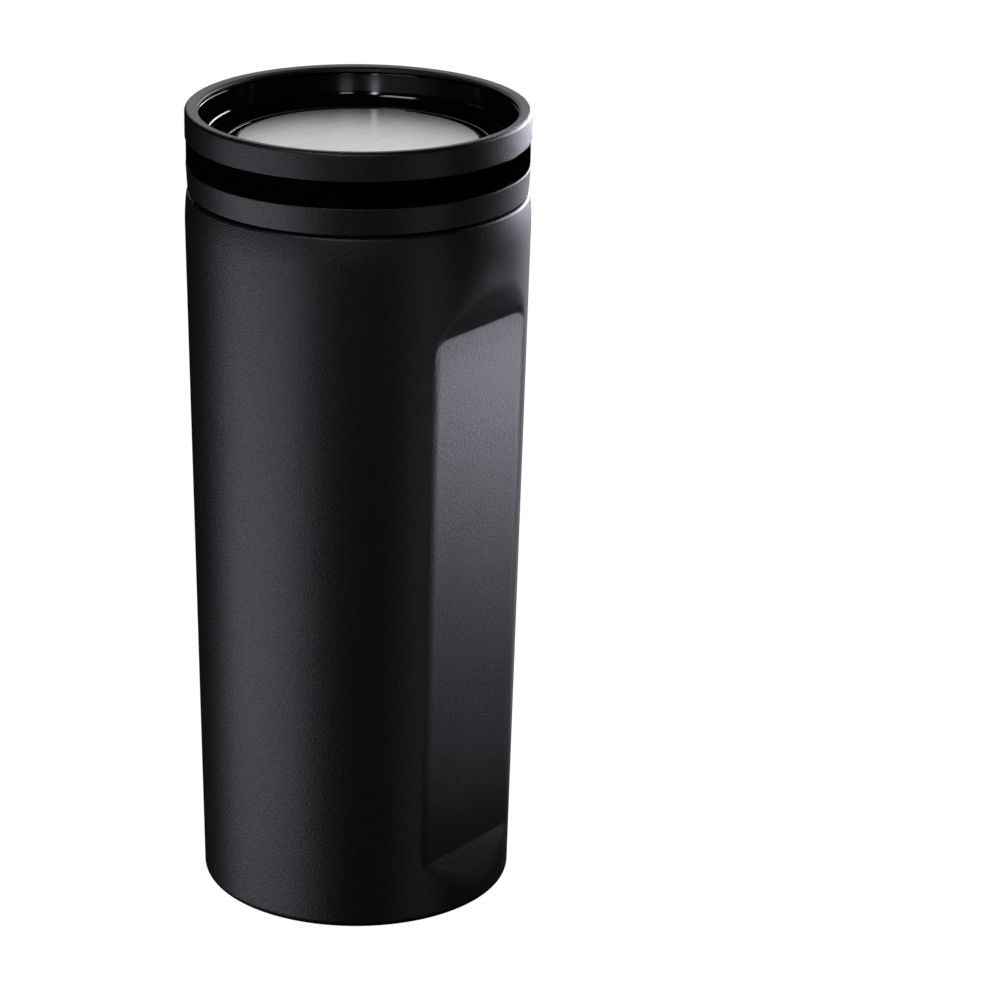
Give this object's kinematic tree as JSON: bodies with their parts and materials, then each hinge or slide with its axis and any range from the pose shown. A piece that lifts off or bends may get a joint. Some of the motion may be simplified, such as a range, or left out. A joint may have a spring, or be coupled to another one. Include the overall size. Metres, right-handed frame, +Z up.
{
  "type": "insulated tumbler with lid",
  "caption": "Tapered double-wall steel tumbler with opposed grip flats and a screw-on lid whose central push button opens a valve for drinking all round the rim.",
  "frame": {"origin": "middle of the base, on the plane that the base pad rests on", "axes": "+Z up the tumbler towards the drinking rim; the two grip flats face +X and -X"},
  "size_m": [0.0804, 0.0804, 0.192],
  "materials": {
    "coated_steel": "matt black powder coat with a fine leather-like grain",
    "bare_steel": "satin stainless steel",
    "brushed_steel": "fine straight brushed stainless steel",
    "copper_foil": "bright copper-coloured foil",
    "solder": "dull cast metal bead",
    "getter_metal": "dark sintered metal",
    "base_silicone": "matt dark silicone",
    "seal_silicone": "soft satin silicone",
    "gloss_plastic": "polished black plastic",
    "moulded_plastic": "fine-textured black plastic",
    "acetal": "natural white low-friction plastic"
  },
  "bodies": {
    "flask": {"outer_shell": "coated_steel", "inner_vessel": "bare_steel", "reflective_foil": "copper_foil", "base_plate": "bare_steel", "vacuum_seal": "solder", "getter": "getter_metal", "base_pad": "base_silicone"},
    "lid_carrier": {"lid_gasket": "seal_silicone"},
    "lid": {"upper_trim_ring": "coated_steel", "lower_trim_ring": "coated_steel", "lid_bowl": "gloss_plastic", "lid_core": "moulded_plastic", "bowl_seal": "seal_silicone", "cam_sleeve": "acetal", "return_spring": "bare_steel"},
    "button": {"button_disc": "brushed_steel", "button_cap": "gloss_plastic", "cam_plunger": "acetal", "push_rod": "bare_steel", "valve_plate": "moulded_plastic", "valve_seal": "seal_silicone", "valve_nut": "moulded_plastic"},
    "rotor": {"click_rotor": "acetal"}
  },
  "joints": [
    {"name": "lid_rise", "type": "slide", "parent": "flask", "child": "lid_carrier", "axis": [0, 0, 1], "range_m": [0, 0.048]},
    {"name": "lid_turn", "type": "hinge", "parent": "lid_carrier", "child": "lid", "pos_m": [0, 0, 0.16], "axis": [0, 0, 1], "range_deg": [0, 1080]},
    {"name": "button_press", "type": "slide", "parent": "lid", "child": "button", "axis": [0, 0, 1], "range_m": [-0.004, 0], "stiffness_N_per_m": 400, "springref_m": 0.008, "deforming": ["return_spring"]},
    {"name": "rotor_turn", "type": "hinge", "parent": "button", "child": "rotor", "pos_m": [0, 0, 0.17], "axis": [0, 0, 1], "range_deg": [0, 45]}
  ],
  "couplings": [
    {"joint": "lid_rise", "follows": "lid_turn", "m_per_rad": 0.0025465},
    {"joint": "rotor_turn", "follows": "button_press", "rad_per_m": -196.35}
  ]
}
